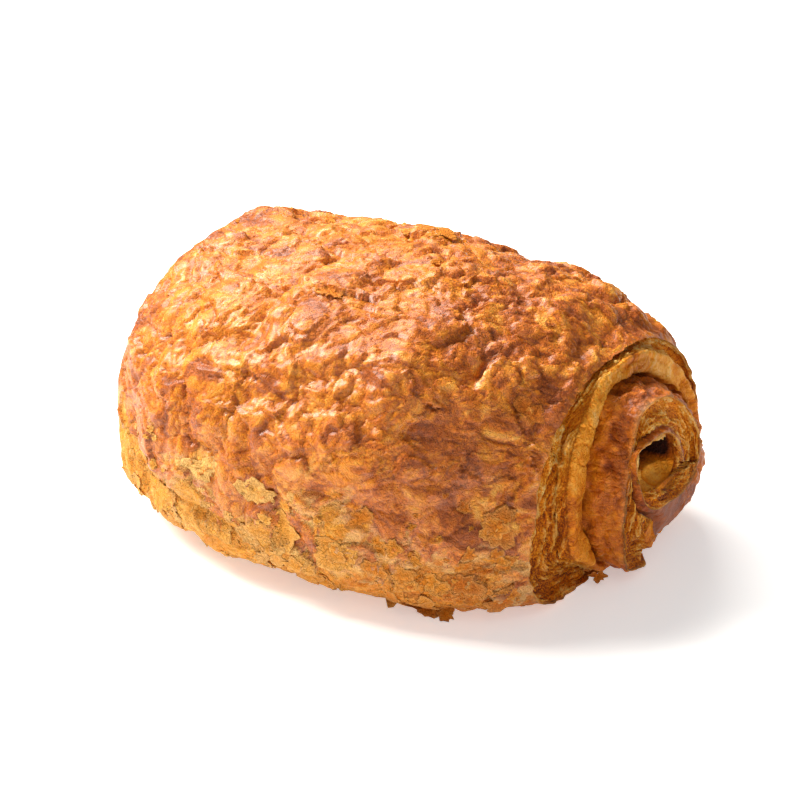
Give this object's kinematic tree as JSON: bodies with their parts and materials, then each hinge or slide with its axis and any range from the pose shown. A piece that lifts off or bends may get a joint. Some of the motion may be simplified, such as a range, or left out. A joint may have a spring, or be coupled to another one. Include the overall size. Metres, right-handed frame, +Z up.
{
  "type": "pain au chocolat",
  "caption": "Rolled and baked laminated pastry with a blistered crust, open spiral ends and a folded core with a shallow slot.",
  "frame": {"origin": "centre of the bounding box in X and Y, on the plane the pastry rests on", "axes": "+X along the roll towards the open spiral end seen in the picture, -Y towards the long side seen in the picture, +Z up"},
  "size_m": [0.1108, 0.0872, 0.0574],
  "materials": {
    "crust": "glossy egg-washed crust on top, matt flaky dough on the sides and ends"
  },
  "bodies": {
    "root": {"pastry": "crust"}
  },
  "joints": []
}
